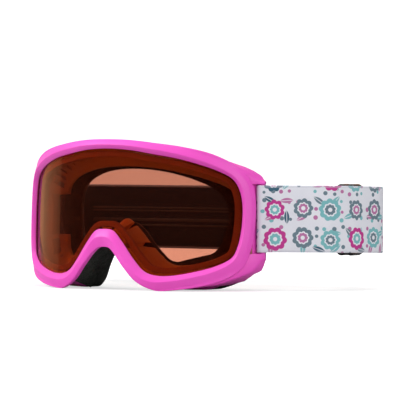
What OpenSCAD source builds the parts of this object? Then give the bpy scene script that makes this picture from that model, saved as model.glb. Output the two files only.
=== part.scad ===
// Child's ski goggle with a double lens, face foam and an adjustable elastic strap.
// Millimetres. Z is up, the lens looks along -Y, +X is the wearer's left.
// The goggle stands on its two cheek foams at z = 0. The origin is the middle of the
// whole object's box in X and Y, on the floor.

/* [Lens] */
// Radius of the outer face of the lens
lens_radius = 98; // [92:1:106]
// Lean of the lens and the rim away from upright, in degrees
lens_tilt = 3; // [1:0.5:4]
// Thickness of the outer lens
outer_lens_thickness = 1.3; // [1:0.1:1.4]
// Thickness of the foam spacer between the two lenses
spacer_thickness = 2.5; // [2:0.1:3]
// Width of the foam spacer
spacer_width = 3; // [2.5:0.1:3.5]
// Thickness of the inner lens
inner_lens_thickness = 0.8; // [0.6:0.1:1]

/* [Rim] */
// How far the groove grips the edge of the lens
groove_grip = 2; // [1.6:0.1:2.2]
// How far the ridge of the rim stands in front of the lens
ridge_height = 2.6; // [2:0.1:3.2]
// How far the outer edge of the rim stands in front of the lens
edge_height = 2; // [1.5:0.1:2.4]
// How far the rear lip reaches inside the lens opening
rear_lip = 0.9; // [0.6:0.1:1]

/* [Face side] */
// Radius of the face that the fleece lies against
face_radius = 78; // [76:1:84]
// Distance from the front of the lens back to the fleece, at the brow
face_depth = 27; // [26:0.5:30]
// Thickness of the fleece layer
fleece_thickness = 1.5; // [1:0.1:2]
// Thickness of the face foam
foam_thickness = 8.5; // [7:0.5:9.5]
// Thickness of the flange that carries the face foam
flange_thickness = 2; // [1.6:0.1:2.4]
// Thickness of the foam strips over the vents
vent_foam_thickness = 2; // [1.5:0.1:2.5]
// Width of a brow vent
vent_width = 9; // [6:0.5:10]

/* [Strap] */
// Width of the strap
strap_width = 35; // [30:0.5:36]
// Thickness of the strap
strap_thickness = 1.4; // [1.2:0.1:1.5]
// Height of the middle of the strap at the temples
strap_height = 37.8; // [36:0.2:40]
// How far the strap hangs lower at the back than at the temples
strap_drop = 3; // [0:0.5:5]
// Angle of the strap to the side where it leaves the temple, in degrees
leave_angle = 38; // [34:1:42]
// Angle of the strap to the side where it leaves the far temple, in degrees
far_angle = 54; // [52:1:56]
// Straight length of the strap behind the temple
leave_length = 32; // [28:1:36]
// Radius of the first bend of the strap
bend_radius = 24; // [20:1:28]
// Angle of the strap after the first bend, in degrees
side_angle = 86; // [82:1:88]
// Straight length of the strap beside the head
side_length = 16; // [10:1:20]
// Radius of the strap's rear corners
corner_radius = 16.5; // [14:0.5:20]
// Clearance between the strap and a bar that it runs round
bar_clearance = 0.25; // [0.2:0.05:0.3]

/* [Adjuster] */
// Width of the adjuster along the strap
adjuster_width = 12.5; // [12:0.5:14]
// How far the adjuster's rails stand past the edge of the strap
rail_proud = 1.65; // [1.4:0.05:2]
// Thickness of the adjuster's bars
bar_thickness = 1.6; // [1.4:0.1:1.6]
// Clearance between the strap and the adjuster
adjuster_clearance = 0.3; // [0.25:0.05:0.35]

/* [Hidden] */

lens_clearance = 0.1;
touch = 0.1;
pad_clearance = 0.3;
z_mid = 38;
steps = 3;
// Distance between the middles of the outer and the inner run of the strap.
strap_gap = 2 * strap_thickness + 1.35;
$fn = 96;

// ---- outlines, right half, from the middle of the brow round to the nose ----
opening = [
  [0, 74.5], [14, 73.8], [28, 71.6], [40, 69.4], [51, 66.1], [59, 62.7], [64.5, 59],
  [67.3, 54], [68.8, 47], [69.1, 39], [68.7, 31], [67.6, 23.5], [65.2, 17.3], [58.5, 13],
  [49, 10], [39, 8.2], [31, 8.2], [24.5, 10.5], [18.4, 16.8], [11.7, 25.3], [6, 31.2], [0, 32.2]
];
edge = [
  [0, 79.6], [14.5, 79.2], [29, 77.5], [41.5, 75], [53, 71.5], [62, 67], [68.5, 61.8],
  [72.3, 55.5], [73.8, 47.5], [74, 39], [73.6, 30.5], [72.2, 21.5], [68.8, 13], [60.5, 7],
  [50.3, 3.6], [39.5, 1.4], [30, 0.8], [21, 4.8], [13.4, 12.6], [7.9, 18.8], [3.8, 22.2], [0, 22.8]
];
step_edge = [
  [0, 78.9], [14.4, 78.5], [29.2, 77.3], [42.5, 75.4], [54.7, 72.3], [64, 67.6], [69.5, 62.3],
  [72.5, 55.7], [73.6, 47.5], [73.8, 39], [73.4, 30.5], [72.4, 21], [69.8, 12], [62.5, 5.8],
  [52, 2.4], [40.5, 0.6], [30.3, 0.4], [20.8, 5], [13.3, 12.8], [7.9, 19], [3.8, 22.3], [0, 23]
];
flange_edge = [
  [0, 76.5], [14, 75.9], [28, 74], [40, 71.2], [50, 67.4], [57.5, 62.8], [62, 57.5],
  [64.5, 51.5], [65.7, 45], [66, 38], [65.7, 31], [64.5, 23.5], [61.5, 14.5], [56, 5.5],
  [47.5, 0.8], [38, -0.6], [29.5, -0.4], [23.2, 4], [18.5, 12.5], [13, 20.5], [7, 27.5], [0, 30]
];
face_opening = [
  [0, 64.5], [11, 64], [22.5, 62.3], [33, 59.5], [41, 56.3], [46.5, 52.7], [49.5, 48.5],
  [51, 44.5], [51.5, 41], [51.5, 37.5], [51.2, 33.5], [50.3, 29], [48.3, 24], [44.5, 20],
  [39.5, 17.3], [34.5, 15.8], [29, 15.4], [24.3, 18], [20.3, 23], [15.8, 29.5], [9, 36], [0, 38.7]
];

function full(h) = concat(h, [for (i = [len(h) - 2:-1:1]) [-h[i][0], h[i][1]]]);
function curve(a, b, c, d, u) = 0.5 * ((2 * b) + (c - a) * u
  + (2 * a - 5 * b + 4 * c - d) * u * u + (3 * b - a - 3 * c + d) * u * u * u);
function smooth(c, m) = let (n = len(c))
  [for (i = [0:n - 1]) for (j = [0:m - 1])
    curve(c[(i + n - 1) % n], c[i], c[(i + 1) % n], c[(i + 2) % n], j / m)];
function mix(a, b, t) = a * (1 - t) + b * t;
function mixes(a, b, t) = [for (i = [0:len(a) - 1]) mix(a[i], b[i], t)];

in_line = smooth(full(opening), steps);
out_line = smooth(full(edge), steps);
step_line = smooth(full(step_edge), steps);
flange_line = smooth(full(flange_edge), steps);
face_line = smooth(full(face_opening), steps);
stations = len(in_line);
function shifted(mm) = [for (i = [0:stations - 1])
  in_line[i] + (out_line[i] - in_line[i]) * mm / norm(out_line[i] - in_line[i])];

// ---- surfaces: y of the leaning lens cylinder and of the upright face cylinder ----
function y_lens(r, p) = (lens_radius + (p[1] - z_mid) * sin(lens_tilt)
  - sqrt(r * r - p[0] * p[0])) / cos(lens_tilt);
function y_face(r, p) = face_depth + face_radius - sqrt(r * r - p[0] * p[0]);
function on_lens(p, r) = [p[0], y_lens(r, p), p[1]];
function on_face(p, r) = [p[0], y_face(r, p), max(p[1], 0.3)];
function at_depth(p, y) = [p[0], y, p[1]];

foam_back = face_radius + fleece_thickness;
foam_front = foam_back + foam_thickness;
flange_back = foam_front + touch;
flange_front = flange_back + flange_thickness;
lens_back = lens_radius - outer_lens_thickness;
spacer_back = lens_back - spacer_thickness;
inner_back = spacer_back - inner_lens_thickness;
groove_back = lens_back - 2 * lens_clearance;
lip_back = groove_back - 1.5;
groove_depth = groove_grip + 0.2;

// ---- frame ----
// One slice through the rim, the groove, the wall and the flange.
function side_share(i) = abs(out_line[i][0] - in_line[i][0]) / norm(out_line[i] - in_line[i]);
function wall_front(i) = let (s = side_share(i), t = 0.6 - 0.3 * s)
  at_depth(mix(in_line[i], out_line[i], t),
    y_lens(lens_radius + edge_height, out_line[i]) + 5.2 - 0.3 * s);
function wall_rear(i) = on_face(flange_line[i], flange_front);
function slice(i) = let (
    a = in_line[i], b = out_line[i], s = side_share(i), w = norm(b - a),
    y = y_lens(lens_radius + edge_height, b), f = flange_line[i], g = face_line[i],
    lip = a - (b - a) / w * rear_lip, bottom = a + (b - a) / w * groove_depth
  ) [
    on_lens(a, lens_radius + lens_clearance),
    on_lens(a, lens_radius + 1),
    on_lens(mix(a, b, 0.5), lens_radius + ridge_height),
    at_depth(b, y),
    at_depth(mix(b, step_line[i], 0.5), y + 1.5),
    at_depth(step_line[i], y + 1.8),
    at_depth(mix(b, step_line[i], 1), y + 4.4 - 1.7 * s),
    wall_front(i),
    wall_rear(i),
    on_face(f, flange_back),
    on_face(mix(f, g, 0.5), flange_back),
    on_face(g, flange_back),
    on_face(g, flange_front),
    on_face(mix(f, g, 0.45), flange_front + 3),
    on_lens(mix(a, b, 0.25 - 0.3 * s), inner_back - lens_clearance - 0.2),
    on_lens(lip, lip_back),
    on_lens(lip, groove_back),
    on_lens(bottom, groove_back),
    on_lens(bottom, lens_radius + lens_clearance)
  ];

// Skin of a closed or open sweep through slices of equal length.
function flipped(faces) = [for (f = faces) [for (k = [len(f) - 1:-1:0]) f[k]]];
function skin(n, m, closed) = concat(
  [for (i = [0:(closed ? n - 1 : n - 2)]) for (j = [0:m - 1])
    let (a = i * m + j, b = ((i + 1) % n) * m + j, c = ((i + 1) % n) * m + (j + 1) % m,
      d = i * m + (j + 1) % m) each [[a, b, c], [a, c, d]]],
  closed ? [] : [[for (j = [0:m - 1]) j], [for (j = [m - 1:-1:0]) (n - 1) * m + j]]
);

module frame_shell() {
  slices = [for (i = [0:stations - 1]) slice(i)];
  polyhedron([for (s = slices) each s], flipped(skin(stations, len(slices[0]), true)),
    convexity = 10);
}

// Vents through the wall, each a straight slot along z or x.
brow_vents = [7, 20, 33, 45];
cheek_vents = [36, 47];
function wall_y(x, z, share) = mix(y_lens(lens_radius - 4.5, [x, z]), y_face(flange_front, [x, z]), share);
module slot(x, z0, z1, w, room) {
  y0 = wall_y(x + w / 2, z0 < 40 ? z0 : z1, room);
  y1 = wall_y(x - w / 2, z0 < 40 ? z0 : z1, 1 - room);
  translate([x - w / 2, y0, z0])
  cube([w, max(y1 - y0, 2), z1 - z0]);
}
// A slot in the inner shelf: it points from the lens opening toward the face opening at
// station k of the outline, with its middle at share t of the way, and goes right through.
module shelf_slot(k, t, deep, w) {
  i = round(k * steps);
  a = in_line[i]; g = face_line[i]; c = mix(a, g, t);
  translate([c[0], y_lens(lip_back, c) + 1, c[1]])
  rotate([0, -atan2(g[1] - a[1], g[0] - a[0]), 0])
  translate([-deep / 2, -3, -w / 2]) cube([deep, 30, w]);
}
upper_slots = [[3.67, 2.6], [4.33, 3], [5, 3.2], [5.67, 3.4], [6.33, 3.6]];
lower_slots = [[10.67, 3.6], [11.67, 3.6]];
nose_gaps = [17.67, 19];
window_out = face_line[9 * steps][0] + 12;
window_in = face_line[9 * steps][0] - 8;
window_low = strap_height - 8.2;
window_high = strap_height + 13.5;
module vents() {
  for (m = [0, 1]) mirror([m, 0, 0]) {
    for (x = brow_vents) slot(x, 66 - (x > 30 ? x / 6 : 0), 84, vent_width - (x > 40 ? 2 : 0), 0.3);
    for (x = cheek_vents) slot(x, -2, 11, 7, 0.34);
    for (v = concat(upper_slots, lower_slots)) shelf_slot(v[0], 0.45, 6, v[1]);
    for (k = nose_gaps) shelf_slot(k, 0.75, 8, 1.6);
    translate([window_in, y_lens(lip_back, [window_in, z_mid]) - 3, window_low])
    cube([window_out - window_in, 40, window_high - window_low]);
  }
}

// Temple lugs: two arms and the bar that the strap runs round.
bar_half = 1.5;
bar_radius = (strap_gap - strap_thickness) / 2 - bar_clearance;
bar_middle = [75.2, 37.4];
along = [cos(leave_angle), sin(leave_angle)];
inward = [-sin(leave_angle), cos(leave_angle)];
lug_line = [
  [60, 69.2], [64.5, 67.2], [70, 62.6], [74.4, 58.8], [80, 57.6], [80, 19],
  [75.2, 18], [72.6, 14], [69, 10.4], [64.5, 7.4], [60, 5.4]
];
module lug_plan() {
  polygon(concat(
    [for (x = [61:3:73]) [x, y_lens(lens_radius - 0.5, [x, z_mid])]],
    [bar_middle + along * (bar_half + 1.2) - inward * 1.9,
     bar_middle + along * (bar_half + 1.2) + inward * 1.6,
     bar_middle + inward * 4.6],
    [for (x = [70:-3:61]) [x, y_lens(lens_radius - 6, [x, z_mid])]]
  ));
}
module lugs() {
  room = strap_width / 2 + 0.6;
  for (m = [0, 1]) mirror([m, 0, 0]) {
    intersection() {
      linear_extrude(80) lug_plan();
      difference() {
        translate([0, 60, 0]) rotate([90, 0, 0]) linear_extrude(60)
        polygon(concat(lug_line, [for (i = [14 * steps:-1:4 * steps])
          mix(in_line[i], out_line[i], 0.8)]));
        translate([turn_middle[0] - strap_gap / 2 - strap_thickness / 2 - 0.5, 10, strap_height - room])
        cube([30, 60, 2 * room]);
      }
    }
    translate([0, 0, strap_height - room - 1.5]) linear_extrude(2 * room + 3) bar_plan();
  }
}
module bar_plan() {
  for (s = [-1, 1]) translate(bar_middle + along * s * (bar_half - bar_radius)) circle(bar_radius, $fn = 24);
  translate(bar_middle) rotate(leave_angle)
  square([2 * (bar_half - bar_radius), 2 * bar_radius], center = true);
}

module frame() {
  color([0.86, 0.32, 0.72])
  placed()
  union() {
    difference() {
      frame_shell();
      vents();
    }
    lugs();
  }
}

// ---- lenses and foams ----
module sheet(outer, inner, r0, r1) {
  intersection() {
    translate([0, 80, 0]) rotate([90, 0, 0]) linear_extrude(100)
    difference() {
      polygon(outer);
      if (len(inner) > 0) polygon(inner);
    }
    translate([0, lens_radius / cos(lens_tilt), z_mid]) rotate([-lens_tilt, 0, 0])
    difference() {
      cylinder(h = 140, r = r1, center = true);
      cylinder(h = 150, r = r0, center = true);
    }
  }
}
module outer_lens() {
  color([0.35, 0.12, 0.05, 0.6])
  placed()
  sheet(shifted(groove_grip), [], lens_back, lens_radius);
}
module lens_spacer() {
  color([0.2, 0.06, 0.05])
  placed()
  sheet(shifted(-rear_lip - 0.3), shifted(-rear_lip - 0.3 - spacer_width), spacer_back, lens_back);
}
module inner_lens() {
  color([0.9, 0.9, 0.9, 0.35])
  placed()
  sheet(shifted(-rear_lip - 0.3), [], inner_back, spacer_back);
}
module pad(outer, inner, r0, r1) {
  intersection() {
    translate([0, 80, 0]) rotate([90, 0, 0]) linear_extrude(100)
    difference() {
      polygon(outer);
      polygon(inner);
    }
    translate([0, face_depth + face_radius, 0])
    difference() {
      cylinder(h = 90, r = r1);
      translate([0, 0, -1]) cylinder(h = 92, r = r0);
    }
  }
}
module face_foam() {
  color([0.16, 0.16, 0.17])
  placed()
  pad(flange_line, mixes(face_line, flange_line, 0.06), foam_back, foam_front);
}
module face_fleece() {
  color([0.1, 0.1, 0.11])
  placed()
  pad(mixes(flange_line, face_line, 0.03), mixes(face_line, flange_line, 0.03),
    face_radius, foam_back);
}

// A foam strip that lies on the outside of the wall, from station i0 to station i1.
function lifted(i, u, up) = let (
    k = (i + stations) % stations, a = wall_front(k), b = wall_rear(k),
    q = wall_front((k + 1) % stations) - wall_front((k + stations - 1) % stations),
    n = cross(q, b - a), d = n / norm(n)
  ) mix(a, b, u) + d * up;
module wall_strip(i0, i1, u0, u1, t) {
  count = i1 - i0 + 1;
  points = [for (i = [i0:i1]) each [
    lifted(i, u0, pad_clearance), lifted(i, u0, pad_clearance + t),
    lifted(i, u1, pad_clearance + t), lifted(i, u1, pad_clearance)
  ]];
  color([0.13, 0.13, 0.14])
  placed()
  polyhedron(points, flipped(skin(count, 4, false)), convexity = 6);
}
// A foam pad that fills a temple window, just in front of the face foam.
module window_pad(m) {
  color([0.13, 0.13, 0.14])
  placed()
  mirror([m, 0, 0]) intersection() {
    translate([face_line[9 * steps][0], 0, window_low + pad_clearance])
    cube([window_out - pad_clearance - face_line[9 * steps][0], 90,
      window_high - window_low - 2 * pad_clearance]);
    translate([0, face_depth + face_radius, 0]) difference() {
      cylinder(h = 90, r = flange_back + vent_foam_thickness);
      translate([0, 0, -1]) cylinder(h = 92, r = flange_back + touch);
    }
  }
}

// ---- strap ----
turn_middle = bar_middle - along * (bar_half - bar_radius);
function arc(c, r, a0, a1, n) = [for (k = [0:n]) let (a = mix(a0, a1, k / n))
  c + r * [sin(a), -cos(a)]];
// Middle line of a run behind the right temple; off is how far inward it lies.
run_start = turn_middle - inward * strap_gap / 2;
bend_middle = run_start + along * leave_length + inward * bend_radius;
side_start = bend_middle + bend_radius * [sin(side_angle), -cos(side_angle)];
corner_middle = side_start + side_length * [cos(side_angle), sin(side_angle)]
  + corner_radius * [-sin(side_angle), cos(side_angle)];
back_y = corner_middle[1] + corner_radius;
function run(off, s0, x1) = concat(
  [for (k = [0:4]) run_start + inward * off + along * mix(s0, leave_length - 1, k / 4)],
  arc(bend_middle, bend_radius - off, leave_angle, side_angle, 8),
  arc(corner_middle, corner_radius - off, side_angle, 180, 12),
  [for (k = [1:4]) [mix(corner_middle[0], x1, k / 4), back_y - off]]
);
// The far side runs straight back, and one corner of its own takes it to the back run.
far_along = [cos(far_angle), sin(far_angle)];
far_inward = [-sin(far_angle), cos(far_angle)];
far_start = turn_middle - far_inward * strap_gap / 2;
far_rise = back_y - far_start[1];
far_reach = corner_middle[0] + corner_radius - far_start[0];
far_corner = (far_rise * far_along[0] / far_along[1] - far_reach)
  / ((1 + far_along[0]) * far_along[0] / far_along[1] - 1 + far_along[1]);
far_length = (far_rise - far_corner * (1 + far_along[0])) / far_along[1];
far_middle = far_start + far_along * far_length + far_inward * far_corner;
function far_run(x1) = concat(
  [for (k = [0:6]) far_start + far_along * (far_length - 1) * k / 6],
  arc(far_middle, far_corner, far_angle, 180, 14),
  [for (k = [1:4]) [mix(far_middle[0], x1, k / 4), back_y]]
);
function mirrored(c) = [for (i = [len(c) - 1:-1:0]) [-c[i][0], c[i][1]]];
function turn(c, r, a0, a1) = [for (k = [1:9]) let (a = mix(a0, a1, k / 10)) c + r * [cos(a), sin(a)]];
function drop(y) = strap_drop * pow(max(y - run_start[1], 0) / (back_y - run_start[1]), 2);
function side_of(c, i) = let (
    d = c[min(i + 1, len(c) - 1)] - c[max(i - 1, 0)], n = norm(d)
  ) [-d[1], d[0]] / n;

// A ribbon along a middle line, upright, hanging a little lower toward the back.
module ribbon(c, wide, thick, lift) {
  count = len(c);
  points = [for (i = [0:count - 1])
    let (n = side_of(c, i) * thick / 2, z = strap_height + lift - drop(c[i][1]))
    each [
      [c[i][0] - n[0], c[i][1] - n[1], z - wide / 2], [c[i][0] - n[0], c[i][1] - n[1], z + wide / 2],
      [c[i][0] + n[0], c[i][1] + n[1], z + wide / 2], [c[i][0] + n[0], c[i][1] + n[1], z - wide / 2]
    ]];
  polyhedron(points, flipped(skin(count, 4, false)), convexity = 10);
}

stub = 5;
tail = 24;
tail_gap = strap_thickness + 0.1;
function ease(u) = let (v = min(max(u, 0), 1)) v * v * (3 - 2 * v);
turn_front = leave_angle + 90;
far_front = far_angle + 90;
outer_line = concat(
  [for (k = [4:-1:0]) run_start + inward * strap_gap + along * stub * k / 4],
  turn(turn_middle, strap_gap / 2, turn_front, turn_front + 180),
  run(0, 0, 0),
  mirrored(far_run(1)),
  mirrored(turn(turn_middle, strap_gap / 2, far_front, far_front + 180)),
  mirrored([for (k = [12:-1:0]) let (s = tail * k / 12)
    far_start + far_inward * mix(strap_gap, tail_gap, ease((s - 3) / 9)) + far_along * s])
);

// ---- adjuster, on the back run ----
loop_mid = strap_thickness + adjuster_clearance + (bar_thickness / 2 + bar_clearance
  + strap_thickness / 2);
loop_half = bar_thickness / 2 + bar_clearance + strap_thickness / 2;
adjuster_x = corner_middle[0] - adjuster_width / 2 - 5.2;
seam_x = adjuster_x + 10.3;
function back_point(x, off) = [x, back_y - off];
inner_line = concat(
  [for (p = [stub + 0.3]) run_start + inward * strap_gap + along * p],
  [for (p = run(strap_gap, stub + 3, seam_x + 0.3)) p]
);
loop_line = concat(
  [for (k = [0:3]) back_point(seam_x - k * 1.4, strap_gap)],
  [for (k = [1:4]) back_point(seam_x - 4.2 - k * 1.25, mix(strap_gap, loop_mid + loop_half, ease(k / 4)))],
  [back_point(adjuster_x - 1, loop_mid + loop_half)],
  turn(back_point(adjuster_x - 1, loop_mid), loop_half, 270, 90),
  [back_point(adjuster_x - 1, loop_mid - loop_half)],
  [for (k = [4:-1:0]) back_point(seam_x - 4.2 - k * 1.25,
    mix(strap_gap - strap_thickness - 0.1, loop_mid - loop_half, ease(k / 4)))],
  [for (k = [2:-1:0]) back_point(seam_x - k * 1.4, strap_gap - strap_thickness - 0.1)]
);
rail_z = strap_width / 2 + 0.25;
module adjuster() {
  lobe = adjuster_width / 4;
  y0 = back_y - loop_mid - bar_thickness / 2;
  y1 = back_y + strap_thickness / 2 + adjuster_clearance + bar_thickness;
  color([0.09, 0.09, 0.1])
  placed()
  translate([adjuster_x, 0, strap_height - strap_drop])
  union() {
    for (m = [0, 1]) mirror([0, 0, m]) intersection() {
      translate([-adjuster_width / 2, y0, rail_z]) cube([adjuster_width, y1 - y0, rail_proud + 1]);
      union() {
        translate([-adjuster_width / 2 + 0.6, y0, rail_z - 1])
        cube([adjuster_width - 1.2, y1 - y0, rail_proud * 0.45 + 1]);
        for (s = [-1, 1]) translate([s * lobe, y1, strap_width / 2 + rail_proud - lobe * 1.25])
        rotate([90, 0, 0]) cylinder(h = y1 - y0, r = lobe * 1.25, $fn = 48);
      }
    }
    for (s = [-1, 1])
    translate([s * (adjuster_width / 2 - 1.2) - 1.2, y1 - bar_thickness, -rail_z - 0.3])
    cube([2.4, bar_thickness, 2 * rail_z + 0.6]);
    translate([-1.5, y0, -rail_z - 0.3]) cube([3, bar_thickness, 2 * rail_z + 0.6]);
  }
}

// Serrated block of thread, face up, for a bar tack.
module tack(tall) {
  rotate([90, 0, 0]) linear_extrude(0.4) {
    square([1.6, tall], center = true);
    for (k = [0:7]) translate([0, mix(-tall / 2 + 1, tall / 2 - 1, k / 7)])
    square([3, 1.6], center = true);
  }
}
module strap_tack_end() {
  color([0.8, 0.8, 0.83])
  placed()
  translate([seam_x - 2, back_y - strap_gap - strap_thickness / 2, strap_height - strap_drop])
  tack(strap_width - 5);
}
module strap_tack_left() {
  place = far_start + far_inward * (tail_gap + strap_thickness / 2) + far_along * 18;
  color([0.8, 0.8, 0.83])
  placed()
  translate([-place[0], place[1], strap_height - drop(place[1])])
  rotate([0, 0, 180 - far_angle]) tack(strap_width - 5);
}
module strap_grip_lines() {
  color([0.75, 0.75, 0.78])
  placed()
  for (line = [[6.2, 0.9], [4.2, 0.9], [-1, 1.5], [-4.6, 0.9]])
  translate([-far_middle[0] + 4, back_y - strap_thickness / 2 - 0.45,
    strap_height - strap_drop + line[0] - line[1] / 2])
  cube([far_middle[0] + 10, 0.45, line[1]]);
}

// ---- placing ----
front_y = min([for (i = [0:stations - 1]) y_lens(lens_radius + ridge_height,
  mix(in_line[i], out_line[i], 0.5))]);
rear_y = back_y + strap_thickness / 2 + adjuster_clearance + bar_thickness;
module placed() {
  translate([0, -(front_y + rear_y) / 2, 0]) children();
}

brow_end = 4 * steps + 1;
module vent_foam_brow() { wall_strip(-brow_end, brow_end, 0.12, 0.88, vent_foam_thickness * 0.7); }
module vent_foam_nose() { wall_strip(17 * steps, 25 * steps, 0.05, 0.95, vent_foam_thickness * 0.6); }
module vent_foam_cheek_left() { wall_strip(13 * steps, 15 * steps, 0.1, 0.5, vent_foam_thickness * 0.6); }
module vent_foam_cheek_right() { wall_strip(27 * steps, 29 * steps, 0.1, 0.5, vent_foam_thickness * 0.6); }
module vent_foam_temple_left() { window_pad(0); }
module vent_foam_temple_right() { window_pad(1); }
module webbing(c) { color([0.86, 0.86, 0.9]) placed() ribbon(c, strap_width, strap_thickness, 0); }
module strap_outer_run() { webbing(outer_line); }
module strap_inner_run() { webbing(inner_line); }
module strap_end_loop() { webbing(loop_line); }

frame();
outer_lens();
lens_spacer();
inner_lens();
face_foam();
face_fleece();
vent_foam_brow();
vent_foam_nose();
vent_foam_cheek_left();
vent_foam_cheek_right();
vent_foam_temple_left();
vent_foam_temple_right();
strap_outer_run();
strap_inner_run();
strap_end_loop();
strap_grip_lines();
strap_tack_left();
strap_tack_end();
adjuster();
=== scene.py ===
# %% [markdown]
# # A child's ski goggle
# The goggle is a soft moulded frame that carries a bent double lens at the front, a ring of
# foam and fleece at the back, and a printed elastic strap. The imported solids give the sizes.
# Each cell below replaces one plain solid with a finished piece, or gives it a finish.

# %% Load the frame of bodies and solids
import math
import bpy
import bmesh
import numpy as np
from mathutils import Matrix, Vector


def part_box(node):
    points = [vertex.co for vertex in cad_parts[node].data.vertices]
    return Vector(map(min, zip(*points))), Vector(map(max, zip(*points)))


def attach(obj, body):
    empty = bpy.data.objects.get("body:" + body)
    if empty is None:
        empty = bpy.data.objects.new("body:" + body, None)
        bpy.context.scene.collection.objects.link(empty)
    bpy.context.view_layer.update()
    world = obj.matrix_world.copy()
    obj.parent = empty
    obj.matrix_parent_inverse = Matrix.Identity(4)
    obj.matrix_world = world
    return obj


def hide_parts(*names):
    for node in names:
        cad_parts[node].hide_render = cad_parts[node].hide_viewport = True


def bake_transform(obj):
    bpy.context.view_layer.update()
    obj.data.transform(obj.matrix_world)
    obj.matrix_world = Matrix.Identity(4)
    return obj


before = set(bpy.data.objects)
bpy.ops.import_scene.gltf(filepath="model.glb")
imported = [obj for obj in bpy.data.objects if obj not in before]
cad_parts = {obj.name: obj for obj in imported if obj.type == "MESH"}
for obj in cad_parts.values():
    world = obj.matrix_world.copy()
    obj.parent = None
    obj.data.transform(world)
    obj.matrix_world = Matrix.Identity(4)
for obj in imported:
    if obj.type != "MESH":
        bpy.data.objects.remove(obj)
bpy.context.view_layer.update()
MM = 0.001


def add_object(name, data):
    obj = bpy.data.objects.new(name, data)
    bpy.context.scene.collection.objects.link(obj)
    return obj

# %% [markdown]
# ## The camera
# The goggle is seen from its left front, a little above the strap, through a long lens, so
# the strap's top and bottom edges stay nearly parallel. The aim lies in the plane of the
# nose, right of the rim, because the strap needs as much room as the lens does.

# %% Camera
VIEW_SIDE = math.radians(36.5)
VIEW_UP = math.radians(1.2)
VIEW_DISTANCE = 2.0
VIEW_WIDTH = 0.2189
side_way = Vector((math.cos(VIEW_SIDE), math.sin(VIEW_SIDE), 0))
back_way = Vector((-math.sin(VIEW_SIDE) * math.cos(VIEW_UP),
                   math.cos(VIEW_SIDE) * math.cos(VIEW_UP), -math.sin(VIEW_UP)))
aim = Vector((0, -0.0528, 0.0432)) + side_way * 0.0542
camera_data = bpy.data.cameras.new("camera")
camera_data.lens = 36 * VIEW_DISTANCE / VIEW_WIDTH
camera = add_object("camera", camera_data)
camera.location = aim - back_way * VIEW_DISTANCE
camera.rotation_euler = back_way.to_track_quat("-Z", "Y").to_euler()
bpy.context.scene.camera = camera
bpy.context.scene.view_settings.view_transform = "Standard"

# %% [markdown]
# ## Writing materials as sums
# A shader is a graph, but most of it is arithmetic on masks. `Value` wraps a socket so that
# `1 - mask * 0.5` adds the Math nodes by itself. Every other node comes from `Graph.node`.

# %% Graph and Value
class Value:
    """A number socket that can be added, multiplied and compared."""
    def __init__(self, graph, socket):
        self.graph, self.socket = graph, socket

    def math(self, operation, *others, **settings):
        n = self.graph.node("ShaderNodeMath", dict(operation=operation, **settings),
                            {i: v for i, v in enumerate((self,) + others)})
        return Value(self.graph, n.outputs[0])

    def __add__(self, o): return self.math("ADD", o)
    __radd__ = __add__
    def __sub__(self, o): return self.math("SUBTRACT", o)
    def __rsub__(self, o): return (self * -1).math("ADD", o)
    def __mul__(self, o): return self.math("MULTIPLY", o)
    __rmul__ = __mul__
    def __truediv__(self, o): return self.math("DIVIDE", o)
    def abs(self): return self.math("ABSOLUTE")
    def sin(self): return self.math("SINE")
    def clamp(self): return self.math("ADD", 0.0, use_clamp=True)
    def over(self, o): return self.math("GREATER_THAN", o)
    def greater(self, o): return self.math("MAXIMUM", o)


class Graph:
    """The node tree of one material."""
    def __init__(self, name):
        self.material = bpy.data.materials.new(name)
        self.material.use_nodes = True
        self.tree = self.material.node_tree
        self.tree.nodes.clear()
        self.out = self.node("ShaderNodeOutputMaterial")

    def node(self, kind, settings=None, inputs=None):
        n = self.tree.nodes.new(kind)
        for key, v in (settings or {}).items():
            if key == "ramp":
                stops = n.color_ramp.elements
                while len(stops) < len(v):
                    stops.new(0.5)
                for stop, (place, colour) in zip(stops, v):
                    stop.position, stop.color = place, (*colour, 1)
            else:
                setattr(n, key, v)
        for key, v in (inputs or {}).items():
            if isinstance(v, Value):
                self.tree.links.new(v.socket, n.inputs[key])
            elif isinstance(v, bpy.types.NodeSocket):
                self.tree.links.new(v, n.inputs[key])
            else:
                n.inputs[key].default_value = v
        return n

    def value(self, socket):
        return Value(self, socket)

    def object_place(self):
        return self.node("ShaderNodeTexCoord").outputs["Object"]

    def noise(self, scale, detail=3.0, place=None, rough=0.5):
        n = self.node("ShaderNodeTexNoise", {"noise_dimensions": "3D"},
                      {"Vector": place or self.object_place(), "Scale": scale,
                       "Detail": detail, "Roughness": rough})
        return self.value(n.outputs["Fac"])

    def mix(self, factor, a, b):
        n = self.node("ShaderNodeMix", {"data_type": "RGBA"})
        for socket, v in ((n.inputs[0], factor), (n.inputs[6], a), (n.inputs[7], b)):
            if isinstance(v, Value):
                self.tree.links.new(v.socket, socket)
            elif isinstance(v, bpy.types.NodeSocket):
                self.tree.links.new(v, socket)
            else:
                socket.default_value = (*v, 1) if hasattr(v, "__len__") and len(v) == 3 else v
        return n.outputs[2]

    def bump(self, height, distance, strength=1.0):
        n = self.node("ShaderNodeBump", None, {"Height": height, "Distance": distance,
                                               "Strength": strength})
        return n.outputs["Normal"]

    def surface(self, **inputs):
        names = {k.replace("_", " "): (*v, 1) if isinstance(v, tuple) and len(v) == 3 else v
                 for k, v in inputs.items()}
        return self.node("ShaderNodeBsdfPrincipled", None, names)

    def finish(self, shader):
        self.tree.links.new(shader.outputs[0], self.out.inputs["Surface"])
        return self.material


def srgb(r, g, b):
    """A colour as it is read off a swatch, 0 to 255, made linear."""
    return tuple(((c / 255 + 0.055) / 1.055) ** 2.4 if c > 10 else c / 255 / 12.92
                 for c in (r, g, b))

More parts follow.
